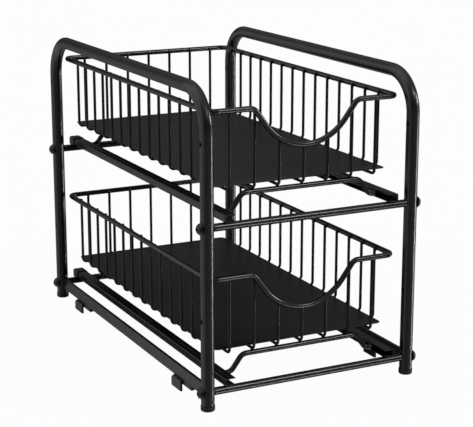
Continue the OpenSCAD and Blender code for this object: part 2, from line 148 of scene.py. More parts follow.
def bent_path(corners: np.ndarray, radii: np.ndarray, steps: int, closed: bool) -> np.ndarray:
    """The centre line of a wire that is bent at each corner.

    At a corner the wire comes in along a and leaves along b, which differ by the angle t.
    Its arc starts r tan(t / 2) before the corner, and its points are
    start + r (1 - cos u) n + r sin u a, for u from 0 to t, where n is the part of b
    across a. All corners and all steps are worked out as one array.

    Args:
        corners: (n, 3) corner points; an open path's first and last are its ends.
        radii: (n,) bend radii, which are not read at an open path's ends.
        steps: number of arc points at each corner.
        closed: whether the last corner joins the first.

    Returns:
        (k, 3) points along the wire.
    """
    inner = corners if closed else corners[1:-1]
    before = np.roll(corners, 1, axis=0) if closed else corners[:-2]
    after = np.roll(corners, -1, axis=0) if closed else corners[2:]
    r = (radii if closed else radii[1:-1])[:, None, None]
    a, b = unit(inner - before), unit(after - inner)
    turn = np.arccos(np.clip((a * b).sum(1), -1, 1))
    n = unit(b - (a * b).sum(1)[:, None] * a)
    start = inner - (r[:, 0] * np.tan(turn / 2)[:, None]) * a
    u = (turn[:, None] * np.linspace(0, 1, steps)[None])[:, :, None]
    arcs = start[:, None] + r * (1 - np.cos(u)) * n[:, None] + r * np.sin(u) * a[:, None]
    points = arcs.reshape(-1, 3)
    return points if closed else np.concatenate([corners[:1], points, corners[-1:]])


def ring_faces(rings: int, sides: int, closed: bool) -> np.ndarray:
    """The quads between the rings of a tube.

    Quad (i, j) joins points i, j and i + 1, j to their next neighbours round the ring,
    with the indices taken modulo the counts where the surface comes back to itself.

    Args:
        rings: number of rings.
        sides: number of points in a ring.
        closed: whether the last ring joins the first.

    Returns:
        (n, 4) numbers of points.
    """
    i = np.arange(rings if closed else rings - 1)[:, None]
    j = np.arange(sides)[None]
    k, m = (i + 1) % rings, (j + 1) % sides
    return np.stack([i * sides + j, k * sides + j, k * sides + m, i * sides + m], -1).reshape(-1, 4)


def capped(rings: np.ndarray, poles: np.ndarray, anticlockwise: bool) -> Shell:
    """Closes a stack of rings with a fan of triangles at each end.

    A fan joins its pole to each pair of neighbours in the ring.

    Args:
        rings: (r, s, 3) points of r rings.
        poles: (2, 3) middle points of the fans at the first and the last ring.
        anticlockwise: how the points of a ring follow each other, seen from the last one.

    Returns:
        The closed shell.
    """
    count, sides = rings.shape[:2]
    base, pole = (count - 1) * sides, count * sides
    quads = ring_faces(count, sides, False)
    j = np.arange(sides)
    k = (j + 1) % sides
    if anticlockwise:
        j, k, quads = k, j, quads[:, ::-1]
    tris = np.concatenate([np.stack([np.full(sides, pole), j, k], -1),
                           np.stack([np.full(sides, pole + 1), base + k, base + j], -1)])
    return Shell(np.concatenate([rings.reshape(-1, 3), poles]), quads, tris)


def wire(path: np.ndarray, across: Triple, radius: float, sides: int, closed: bool) -> Shell:
    """A round wire along a path, with domed ends where it is open.

    The ring at a path point is point + R (cos v s + sin v w), where s is the tangent
    crossed with the across direction and w is s crossed with the tangent. At an open
    end four more rings have the radius R cos q and lie R sin q further on, for the dome
    angles q, and one pole closes them.

    Args:
        path: (k, 3) centre line.
        across: a direction that the path never follows.
        radius: R, in metres.
        sides: number of points round the wire.
        closed: whether the path is a loop.

    Returns:
        The wire's closed shell.
    """
    if closed:
        tangent = unit(np.roll(path, -1, axis=0) - np.roll(path, 1, axis=0))
        scale = np.ones(len(path))
    else:
        tangent = unit(np.gradient(path, axis=0))
        tangent[0], tangent[-1] = unit(path[1] - path[0]), unit(path[-1] - path[-2])
        q = DOME_ANGLES
        head = path[0] - radius * np.sin(q[::-1])[:, None] * tangent[0]
        tail = path[-1] + radius * np.sin(q)[:, None] * tangent[-1]
        path = np.concatenate([head, path, tail])
        tangent = np.pad(tangent, ((len(q), len(q)), (0, 0)), "edge")
        scale = np.concatenate([np.cos(q[::-1]), np.ones(len(path) - 2 * len(q)), np.cos(q)])
    s = unit(np.cross(tangent, np.asarray(across)))
    w = np.cross(s, tangent)
    v = np.linspace(0, 2 * math.pi, sides, endpoint=False)[None, :, None]
    ring = np.cos(v) * s[:, None] + np.sin(v) * w[:, None]
    points = path[:, None] + radius * scale[:, None, None] * ring
    if closed:
        return Shell(points.reshape(-1, 3), ring_faces(len(path), sides, True), NO_TRIS)
    step = radius * POLE_STEP
    poles = np.stack([path[0] - step * tangent[0], path[-1] + step * tangent[-1]])
    return capped(points, poles, False)


def bent_wire(corners: np.ndarray, radii: np.ndarray, across: Triple, radius: float,
              counts: tuple[int, int], closed: bool = False) -> Shell:
    """A wire that is bent at each corner, with counts of points on an arc and round it."""
    return wire(bent_path(corners, radii, counts[0], closed), across, radius, counts[1], closed)


class Bead(Enum):
    """Half sizes of an average weld bead along X, Y and Z."""

    ON_SIDE = (0.9 * MM, 1.7 * MM, 1.9 * MM)
    ON_END = (1.7 * MM, 0.9 * MM, 1.9 * MM)
    CROSSING = (1.15 * MM, 1.15 * MM, 0.75 * MM)
    CARRIER = (1.5 * MM, 1.7 * MM, 0.8 * MM)
    RAIL = (3.4 * MM, 1.2 * MM, 0.8 * MM)
    STRIP = (0.8 * MM, 0.9 * MM, 4.9 * MM)


def bead(size: Triple, rows: int = 5, columns: int = 10) -> Shell:
    """A bead: a ball drawn out along the axes.

    A point is (a cos p cos l, b cos p sin l, c sin p) for the latitude p and the
    longitude l, with one point at each pole.

    Args:
        size: the half sizes a, b and c, in metres.
        rows: rings between the poles.
        columns: points round each ring.

    Returns:
        The bead's closed shell, centred on the origin.
    """
    p = np.linspace(-math.pi / 2, math.pi / 2, rows + 2)[1:-1][:, None]
    turn = np.linspace(0, 2 * math.pi, columns, endpoint=False)[None]
    grid = points_at(np.cos(p) * np.cos(turn), np.cos(p) * np.sin(turn), np.sin(p))
    return capped(grid * np.array(size), points_at(0, 0, SIGNS) * np.array(size), True)


def weld_spots(places: np.ndarray, kind: Bead) -> Shell:
    """Beads at many places, each a little larger or smaller along each axis.

    A bead's points are its place plus the average bead's points times its three scales.

    Args:
        places: (..., 3) centres in metres.
        kind: the kind of bead.

    Returns:
        One shell with all the beads.
    """
    one, places = bead(kind.value), places.reshape(-1, 3)
    many = one.repeat(places)
    scales = RNG.uniform(1 - BEAD_SWING, 1 + BEAD_SWING, (len(places), 3))
    many.points = (places[:, None] + one.points * scales[:, None]).reshape(-1, 3)
    return many


def slab(low: np.ndarray, high: np.ndarray, corner: float, edge: float) -> Shell:
    """A thin sheet with round corners and softly broken edges.

    Its outline is centre + corner (cos v, sin v) over a quarter turn at each corner. A
    ring of its edge is that outline, smaller by edge (1 - cos u) at the middle of each
    side and edge sin u from the middle of the edge's arc, for u from -90 to 0 degrees
    below and from 0 to 90 above. Flat rings further in and one point close each face.

    Args:
        low: lowest corner of the sheet's box, in metres.
        high: highest corner.
        corner: radius of its four corners.
        edge: radius of its broken edges.

    Returns:
        The sheet's closed shell.
    """
    half, middle = (high - low) / 2, (high + low) / 2
    v = np.arange(4)[:, None] * math.pi / 2 + np.linspace(0, math.pi / 2, CORNER_STEPS)[None]
    centre = np.array([[1, 1], [-1, 1], [-1, -1], [1, -1]])[:, None] * (half[:2] - corner)
    outline = (centre + corner * points_at(np.cos(v), np.sin(v))).reshape(-1, 2)
    u, flat = EDGE_ANGLES, np.ones(len(INNER_RINGS))
    side = np.repeat([-1, 1], len(u) // 2)
    scale = np.concatenate([INNER_RINGS, np.ones(len(u)), INNER_RINGS[::-1]])
    drawn = np.concatenate([edge * flat, edge * (1 - np.cos(u)), edge * flat])
    height = np.concatenate([-half[2] * flat, side * (half[2] - edge) + edge * np.sin(u),
                             half[2] * flat])
    rows = outline[None] * (1 - drawn[:, None, None] / half[:2]) * scale[:, None, None]
    rings = points_at(rows[..., 0], rows[..., 1], height[:, None])
    return capped(rings + middle, points_at(0, 0, SIGNS * half[2]) + middle, True)


def prism(outline: np.ndarray, low_x: float, high_x: float) -> Shell:
    """A flat plate: a convex outline in Y and Z, anticlockwise from +X, at two values of X."""
    # a ring is the outline at one value of X, and a pole is the mean point of its ring
    rings = points_at([[low_x], [high_x]], outline[:, 0], outline[:, 1])
    return capped(rings, rings.mean(1), True)


def soften(piece: bpy.types.Object, width: float, segments: int) -> None:
    """Breaks the sharp edges of a piece with a small bevel.

    Args:
        piece: the mesh object.
        width: bevel width in metres.
        segments: faces across each bevel.
    """
    bevel = piece.modifiers.new("broken_edges", "BEVEL")
    bevel.width = width
    bevel.segments = segments
    bevel.limit_method = "ANGLE"
    bevel.angle_limit = SHARP_ANGLE
    bevel.harden_normals = True


# ---- shader graph


class Signal:
    """A shader value that adds Math nodes as it is used in an expression."""

    def __init__(self, graph: "Graph", socket: bpy.types.NodeSocket) -> None:
        """Keeps the socket and the graph that it belongs to."""
        self.graph = graph
        self.socket = socket

    def _math(self, operation: str, first: "Signal | float", second: "Signal | float") -> "Signal":
        """Adds one Math node on two values."""
        return self.graph.signal("ShaderNodeMath", {0: first, 1: second}, {"operation": operation})

    def __add__(self, other: "Signal | float") -> "Signal":
        """Adds."""
        return self._math("ADD", self, other)

    __radd__ = __add__

    def __mul__(self, other: "Signal | float") -> "Signal":
        """Multiplies."""
        return self._math("MULTIPLY", self, other)

    def __sub__(self, other: "Signal | float") -> "Signal":
        """Subtracts."""
        return self._math("SUBTRACT", self, other)

    def __rsub__(self, other: "Signal | float") -> "Signal":
        """Subtracts from a number."""
        return self._math("SUBTRACT", other, self)

    def __truediv__(self, other: "Signal | float") -> "Signal":
        """Divides."""
        return self._math("DIVIDE", self, other)

    def __abs__(self) -> "Signal":
        """Drops the sign."""
        return self._math("ABSOLUTE", self, 0.0)

    def __or__(self, other: "Signal | float") -> "Signal":
        """Takes the larger of two values."""
        return self._math("MAXIMUM", self, other)

    def ramp(self, low: float, high: float) -> "Signal":
        """Goes smoothly from 0 at low to 1 at high."""
        inputs = {"Value": self, "From Min": low, "From Max": high}
        return self.graph.signal("ShaderNodeMapRange", inputs, {"interpolation_type": "SMOOTHSTEP"})


class Graph:
    """The node tree of one material or of the world."""

    def __init__(self, owner: bpy.types.Material | bpy.types.World) -> None:
        """Turns nodes on and empties the tree.

        Args:
            owner: the material or the world.
        """
        owner.use_nodes = True
        self.tree = owner.node_tree
        self.tree.nodes.clear()

    def node(self, kind: str, inputs: dict | None = None,
             settings: dict | None = None) -> bpy.types.Node:
        """Adds any node.

        Args:
            kind: the node's type.
            inputs: values, sockets or signals by the input's name or number.
            settings: its properties, which are set before its inputs.

        Returns:
            The new node.
        """
        made = self.tree.nodes.new(kind)
        for name, value in (settings or {}).items():
            setattr(made, name, value)
        for key, value in (inputs or {}).items():
            source = value.socket if isinstance(value, Signal) else value
            if isinstance(source, bpy.types.NodeSocket):
                self.tree.links.new(source, made.inputs[key])
            else:
                made.inputs[key].default_value = source
        return made

    def signal(self, kind: str, inputs: dict, settings: dict | None = None) -> Signal:
        """Adds a node and reads its first output."""
        return Signal(self, self.node(kind, inputs, settings).outputs[0])

    def place(self, stretch: Triple = (1, 1, 1)) -> bpy.types.NodeSocket:
        """Object coordinates, scaled per axis."""
        vector = self.node("ShaderNodeTexCoord").outputs["Object"]
        return self.node("ShaderNodeMapping", {"Vector": vector, "Scale": stretch}).outputs[0]

    def noise(self, size: float, detail: float, stretch: Triple = (1, 1, 1)) -> Signal:
        """Noise from 0 to 1, its features size metres large, drawn out where stretch is below 1."""
        inputs = {"Vector": self.place(stretch), "Scale": 1 / size, "Detail": detail}
        return self.signal("ShaderNodeTexNoise", inputs)

    def part(self, vector: bpy.types.NodeSocket, axis: str) -> Signal:
        """One component of a vector."""
        return Signal(self, self.node("ShaderNodeSeparateXYZ", {0: vector}).outputs[axis])

    def ray(self, kind: str) -> Signal:
        """Whether the ray that asks is of a kind: 1 or 0."""
        return Signal(self, self.node("ShaderNodeLightPath").outputs[f"Is {kind} Ray"])

    def mix(self, factor: Signal | float, first: Tint, second: Tint) -> bpy.types.NodeSocket:
        """Mixes two colours, for which the node has the inputs 6 and 7 and the output 2."""
        made = self.node("ShaderNodeMix", {0: factor, 6: first, 7: second}, {"data_type": "RGBA"})
        return made.outputs[2]


def colour(red: float, green: float, blue: float) -> Tint:
    """A colour with full alpha."""
    return (red, green, blue, 1.0)


# ---- finishes


TONE_SWING = 0.18  # how much darker or lighter a finish gets in patches
PATCH_RANGE = (0.3, 0.7)  # the noise of its darkest and of its lightest patches
PATCH_DETAIL, GRAIN_DETAIL, CLOUD_DETAIL = 3.0, 2.0, 4.0  # finer layers of each noise
NOISE_MEAN = 0.5
GRAIN_SHARE = 0.6  # how much of the roughness's spread follows the grain
BUMP_STRENGTH = 0.6
CLOUD_SHARE = 0.27  # size of the dust's clouds, as a share of the patches
CLOUD_RANGE, FACING_RANGE = (0.45, 0.85), (0.35, 1.0)  # noise and slope, from no dust to most
DUST_COVER, DUST_ROUGHNESS = 0.5, 0.08  # how much the most dust covers, and roughens
BARE_STEEL = (0.06, 0.06, 0.063)
TRACK_RANGE = (0.3, 1.0)  # where a worn track starts to fade and where it ends
STREAK_SIZE, STREAK_STRETCH, STREAK_RANGE = 4 * MM, (1, 0.08, 1), (0.35, 0.7)
WORN_COVER, WORN_POLISH = 0.7, 0.12  # how much bare steel covers, and smooths


class Grain(Enum):
    """The fine relief of a finish; less than 1 draws it out along X, Y or Z."""

    EVEN = (1.0, 1.0, 1.0)
    ROLLED = (1.0, 0.04, 1.0)
    TURNED = (1.0, 6.0, 6.0)


@dataclass(frozen=True)
class Finish:
    """A coated, moulded or blackened surface.

    Fields: tone and dust are the colour and the colour that settles on upward faces;
    roughness varies by spread over patches of patch metres; relief is the height of the
    grain and grain_size its spacing; gloss is the specular level; rub is the half width
    of the track worn by a rod that slides at rub_x on each side, or 0.
    """

    name: str
    tone: Triple
    dust: Triple
    roughness: float
    spread: float
    grain: Grain
    grain_size: float
    relief: float
    gloss: float
    metallic: float = 0.0
    patch: float = 0.03
    rub: float = 0.0
    rub_x: float = 0.0

    def make(self) -> bpy.types.Material:
        """Builds the material's nodes.

        The tone swings darker and lighter over large patches, and dust settles in a
        finer cloud on what faces up. Roughness follows the patches, the grain and the
        dust. A rubbed track is smoother and shows bare metal in streaks.

        Returns:
            The material.
        """
        material = bpy.data.materials.new(self.name)
        graph = Graph(material)
        patches = graph.noise(self.patch, PATCH_DETAIL)
        fine = graph.noise(self.grain_size, GRAIN_DETAIL, self.grain.value)
        cloud = graph.noise(self.patch * CLOUD_SHARE, CLOUD_DETAIL)
        up = graph.part(graph.node("ShaderNodeNewGeometry").outputs["Normal"], "Z")
        settle = up.ramp(*FACING_RANGE) * cloud.ramp(*CLOUD_RANGE) * DUST_COVER
        dark, light = (np.array(self.tone) * (1 + swing) for swing in (-TONE_SWING, TONE_SWING))
        base = graph.mix(patches.ramp(*PATCH_RANGE), colour(*dark), colour(*light))
        base = graph.mix(settle, base, colour(*self.dust))
        rough = (self.roughness + (patches - NOISE_MEAN) * self.spread
                 + (fine - NOISE_MEAN) * (self.spread * GRAIN_SHARE) + settle * DUST_ROUGHNESS)
        if self.rub:
            track = abs(abs(graph.part(graph.place(), "X")) - self.rub_x) / self.rub
            streaks = graph.noise(STREAK_SIZE, PATCH_DETAIL, STREAK_STRETCH).ramp(*STREAK_RANGE)
            worn = (1 - track.ramp(*TRACK_RANGE)) * streaks * WORN_COVER
            base = graph.mix(worn, base, colour(*BARE_STEEL))
            rough = rough - worn * WORN_POLISH
        bump = graph.node("ShaderNodeBump",
                          {"Height": fine, "Distance": self.relief, "Strength": BUMP_STRENGTH})
        shader = graph.node("ShaderNodeBsdfPrincipled", {
            "Base Color": base, "Roughness": rough, "Metallic": self.metallic,
            "Specular IOR Level": self.gloss, "Normal": bump.outputs[0]})
        graph.node("ShaderNodeOutputMaterial", {"Surface": shader.outputs[0]})
        return material


class Finishes:
    """All the finishes of the stand, each made once."""

    def __init__(self, runner_x: float) -> None:
        """Makes the materials.

        Args:
            runner_x: distance from the middle to the rods that run in the rails.
        """
        black, dust = (0.005, 0.005, 0.0054), (0.012, 0.012, 0.0125)
        self.frame = Finish("powder_coat_frame", black, dust, 0.25, 0.05, Grain.EVEN,
                            1.1 * MM, 0.015 * MM, 0.5).make()
        self.wire = Finish("powder_coat_wire", black, dust, 0.36, 0.05, Grain.EVEN,
                           0.9 * MM, 0.012 * MM, 0.28, patch=0.018).make()
        self.weld = Finish("powder_coat_weld", black, dust, 0.5, 0.12, Grain.EVEN,
                           0.5 * MM, 0.06 * MM, 0.25, patch=0.006).make()
        self.plate = Finish("satin_plate", (0.0115, 0.0121, 0.0152), (0.015, 0.0152, 0.017), 0.36,
                            0.06, Grain.ROLLED, 0.8 * MM, 0.008 * MM, 0.24, patch=0.05).make()
        self.rail = Finish("painted_rail", black, dust, 0.32, 0.06, Grain.ROLLED,
                           1.0 * MM, 0.01 * MM, 0.4, rub=1.4 * MM, rub_x=runner_x).make()
        self.bolt = Finish("black_oxide_bolt", (0.012, 0.012, 0.013), (0.025, 0.025, 0.025), 0.2,
                           0.06, Grain.TURNED, 0.7 * MM, 0.008 * MM, 0.45, metallic=0.3,
                           patch=0.004).make()
        self.plastic = Finish("moulded_plastic", (0.0095, 0.0095, 0.010), (0.025, 0.025, 0.026),
                              0.5, 0.08, Grain.EVEN, 0.45 * MM, 0.02 * MM, 0.35,
                              patch=0.008).make()


def dress(piece: bpy.types.Object, material: bpy.types.Material) -> None:
    """Gives a new piece or a CAD node's object its material.

    Args:
        piece: the object.
        material: the finish.
    """
    if piece.material_slots:
        for place in piece.material_slots:
            place.material = material
    else:
        piece.data.materials.append(material)


def install(piece: bpy.types.Object, material: bpy.types.Material, body: str,
            nodes: list[str]) -> bpy.types.Object:
    """Dresses a new piece, puts it on its body and takes the CAD nodes' place with it.

    Args:
        piece: the new piece.
        material: its finish.
        body: the body that it rides on.
        nodes: the CAD nodes that it replaces, or none.

    Returns:
        The piece.
    """
    dress(piece, material)
    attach(piece, body)
    if nodes:
        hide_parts(*nodes)
    return piece


def node_box(node: str) -> tuple[np.ndarray, np.ndarray]:
    """The lowest and highest corner of a CAD node, in metres."""
    low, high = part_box(node)
    return np.array(low), np.array(high)


# ---- baskets


class Side(Enum):
    """The two sides of the stand, with the sign of their X."""

    LEFT = -1
    RIGHT = 1


class Tier(Enum):
    """The two levels of the stand."""

    LOWER = "lower"
    UPPER = "upper"


# points on the arc of a bend and round the wire
RIM_COUNTS, WIRE_COUNTS, CARRIER_COUNTS = (24, 28), (10, 16), (12, 24)
LUG_HALF = 0.55  # half of a stop lug's width, as a share of how far it reaches out
LUG_POWER = 0.6  # 1 is a ball and 0 a block
LUG_COUNTS = (6, 16)  # its rows and columns of points
LUG_BACK = 1.5  # from the heavy wire's turn to the middle of a lug, in lug lengths


@dataclass
class WireBasket:
    """One pull-out basket: rim, wires, floor plate, carrier wire and welds.

    Fields: tier is its level, side_wires and end_wires are counts and the rest are sizes
    and bend radii in metres; the CAD's wires are 2.2 mm, with the same outer faces. The
    heavy wire's slope starts turn_lead after its turn out of the rail, and from level_from
    inside the runner's axis it is level; a weld on the rim lies weld_drop under its axis.
    """

    tier: Tier
    rim_d: float = 4.8 * MM
    rim_corner_r: float = 7.0 * MM
    dip_r: float = 46.0 * MM
    shoulder_r: float = 8.0 * MM
    wire_d: float = 2.6 * MM
    wire_bend_r: float = 4.0 * MM
    side_wires: int = 14
    end_wires: int = 7
    carrier_d: float = 4.6 * MM
    carrier_bend_r: float = 8.0 * MM
    carrier_turn_r: float = 6.0 * MM
    turn_lead: float = 1.0 * MM
    lug_length: float = 5.0 * MM
    plate_corner_r: float = 4.5 * MM
    plate_edge_r: float = 0.25 * MM
    level_from: float = 26.0 * MM
    weld_drop: float = 0.5 * MM

    def __post_init__(self) -> None:
        """Reads the basket's places from the CAD nodes."""
        low, high = self.axis_box("rim", self.rim_d)
        self.rim_x, self.rim_z, self.dip_depth = high[0], high[2], high[2] - low[2]
        self.rim_front, self.rim_rear = low[1], high[1]
        low, high = self.axis_box("side_wires", self.wire_d)
        self.wall_x, self.side_z = high[0], low[2]
        self.side_y = np.linspace(low[1], high[1], self.side_wires)
        low, high = self.axis_box("end_wires", self.wire_d)
        self.end_x = np.linspace(low[0], high[0], self.end_wires)
        self.front_y, self.rear_y, self.end_z = low[1], high[1], low[2]
        low, high = self.axis_box("front_support", self.carrier_d)
        self.carrier_front, self.cross_z, self.run_z = low[1], high[2], low[2]
        low, high = self.axis_box("rear_support", self.carrier_d)
        self.carrier_rear = high[1]
        self.lug_y = high[1] - self.carrier_turn_r - LUG_BACK * self.lug_length
        low, high = self.axis_box("right_runner", self.carrier_d)
        self.run_x = low[0]
        self.lug_reach = high[0] + self.carrier_d / 2 - low[0]

    def axis_box(self, part: str, size: float) -> tuple[np.ndarray, np.ndarray]:
        """A CAD node's box, smaller by half of its wire's thickness on each side."""
        low, high = node_box(f"{self.tier.value}_{part}")
        return low + size / 2, high - size / 2

    def dip(self, x: np.ndarray) -> np.ndarray:
        """Height of the front rim's axis above the straight rim, at x.

        From the middle out it is the lower arc, the slope, the shoulder arc and 0.

        Args:
            x: distances from the middle, in metres.

        Returns:
            The heights, in metres and never above 0.
        """
        x = np.abs(x)
        cos, sin = math.cos(SLOPE), math.sin(SLOPE)
        corner = (self.dip_depth + self.dip_r * (1 / cos - 1)) * cos / sin
        low_x, reach = self.dip_r * sin, self.shoulder_r * math.tan(SLOPE / 2)
        high_x, end_x = corner - reach * cos, corner + reach
        arc = self.dip_r - self.dip_depth - np.sqrt(np.maximum(self.dip_r ** 2 - x ** 2, 0))
        slope = (x - corner) * sin / cos
        shoulder = np.sqrt(np.maximum(self.shoulder_r ** 2 - (end_x - x) ** 2, 0)) - self.shoulder_r
        return np.select([x < low_x, x < high_x, x < end_x], [arc, slope, shoulder], 0.0)

    def rim(self) -> Shell:
        """The closed rim wire: four round corners and a dip in front.

        Returns:
            Its closed shell.
        """
        x, z, f, b = self.rim_x, self.rim_z, self.rim_front, self.rim_rear
        r, s = self.rim_corner_r, self.shoulder_r
        drop = self.dip_depth + self.dip_r * (1 / math.cos(SLOPE) - 1)
        corner = drop / math.tan(SLOPE)
        corners = np.array([[-x, b, z], [x, b, z], [x, f, z], [corner, f, z], [0, f, z - drop],
                            [-corner, f, z], [-x, f, z]])
        radii = np.array([r, r, r, s, self.dip_r, s, r])
        return bent_wire(corners, radii, (0, 0, 1), self.rim_d / 2, RIM_COUNTS, True)

    def side_loop(self) -> Shell:
        """The U wires that go down one side, under the plate and up the other side.

        Returns:
            One shell with all of them.
        """
        x, z, top = self.wall_x, self.side_z, self.rim_z
        corners = np.array([[-x, 0, top], [-x, 0, z], [x, 0, z], [x, 0, top]])
        bends = np.full(4, self.wire_bend_r)
        one = bent_wire(corners, bends, (0, 1, 0), self.wire_d / 2, WIRE_COUNTS)
        return one.repeat(points_at(0, self.side_y, 0))

    def end_loop(self) -> Shell:
        """The U wires that go down the front, under the plate and up the rear.

        Returns:
            One shell with all of them.
        """
        bends, shells = np.full(4, self.wire_bend_r), []
        for x, top in zip(self.end_x, self.rim_z + self.dip(self.end_x)):
            corners = np.array([[x, self.front_y, top], [x, self.front_y, self.end_z],
                                [x, self.rear_y, self.end_z], [x, self.rear_y, self.rim_z]])
            shells.append(bent_wire(corners, bends, (1, 0, 0), self.wire_d / 2, WIRE_COUNTS))
        return join(shells)

    def carrier(self) -> Shell:
        """The closed heavy wire that carries the basket and runs in both rails.

        Its stop lugs are beads with flatter sides: a bead's coordinate c, with the half
        size a on its axis, becomes c to the power LUG_POWER times a to the rest of it.

        Returns:
            One shell with the wire and its two stop lugs.
        """
        x, low, high = self.run_x, self.run_z, self.cross_z
        turn, bend = self.carrier_turn_r, self.carrier_bend_r
        foot = x - turn - self.turn_lead - bend * math.tan(SLOPE / 2)
        head = foot - (high - low) / math.tan(SLOPE)
        row = np.array([[-x, low], [-foot, low], [-head, high],
                        [head, high], [foot, low], [x, low]])
        bends = np.array([turn, bend, bend, bend, bend, turn] * 2)
        front = np.insert(row, 1, self.carrier_front, axis=1)
        rear = np.insert(row[::-1], 1, self.carrier_rear, axis=1)
        loop = bent_wire(np.concatenate([front, rear]), bends, (0, 0, 1), self.carrier_d / 2,
                         CARRIER_COUNTS, True)
        size = (self.lug_reach * LUG_HALF, self.lug_length / 2, self.carrier_d / 4)
        lug = bead(size, *LUG_COUNTS)
        lug.points = (np.sign(lug.points) * np.abs(lug.points) ** LUG_POWER
                      * np.array(size) ** (1 - LUG_POWER))
        side = self.run_x + self.lug_reach * (1 - LUG_HALF)
        return loop + lug.repeat(points_at(SIGNS * side, self.lug_y, low))

    def plate(self) -> Shell:
        """The thin sheet that lies on the wires."""
        low, high = node_box(self.tier.value + "_floor_plate")
        return slab(low, high, self.plate_corner_r, self.plate_edge_r)

    def welds(self) -> Shell:
        """The weld spots: wires on the rim, wires on each other and wires on the carrier.

        Returns:
            One shell with all of them.
        """
        half = self.wire_d / 2
        side_z = self.rim_z - self.weld_drop
        tops = self.rim_z + self.dip(self.end_x) - self.weld_drop
        on_sides = points_at(SIGNS[:, None] * (self.wall_x + half), self.side_y, side_z)
        on_ends = np.concatenate([points_at(self.end_x, self.front_y - half, tops),
                                  points_at(self.end_x, self.rear_y + half, side_z)])
        crossings = points_at(self.end_x, self.side_y[:, None], (self.side_z + self.end_z) / 2)
        level_x = self.end_x[np.abs(self.end_x) < self.run_x - self.level_from]
        carried = points_at(level_x[:, None], [self.carrier_front, self.carrier_rear],
                            self.end_z - half)
        return join([weld_spots(on_sides, Bead.ON_SIDE), weld_spots(on_ends, Bead.ON_END),
                     weld_spots(crossings, Bead.CROSSING), weld_spots(carried, Bead.CARRIER)])

    def build(self, finishes: Finishes) -> list[bpy.types.Object]:
        """Builds and dresses the basket's pieces.

        Args:
            finishes: the finishes to choose from.

        Returns:
            The pieces.
        """
        key = self.tier.value
        rows = [
            ("rim", self.rim(), finishes.frame, "wire_coat", ["rim"]),
            ("side_wires", self.side_loop(), finishes.wire, "wire_coat", ["side_wires"]),
            ("end_wires", self.end_loop(), finishes.wire, "wire_coat", ["end_wires"]),
            ("carrier", self.carrier(), finishes.frame, "wire_coat",
             ["front_support", "rear_support", "left_runner", "right_runner"]),
            ("floor_plate", self.plate(), finishes.plate, "plate_coat", ["floor_plate"]),
            ("weld_spots", self.welds(), finishes.weld, "wire_coat", []),
        ]
        return [install(shell.build(f"{key}_{part}_piece"), material, f"{key}_basket",
                        [f"{key}_{node}" for node in nodes])
                for part, shell, material, slot, nodes in rows]


# ---- stand


FOLD_STEPS, WEB_STEPS = 6, 9  # points on a rail's fold and down its web
RAIL_RINGS, PAD_RINGS = 25, 17  # rings along a rail and over its pressed stop
PAD_REACH, PAD_RISE = 0.7, 0.42  # half of the stop's footprint, as shares of its length
WEB_SLACK = 0.05 * MM  # how far from its plane a point still counts as on the web


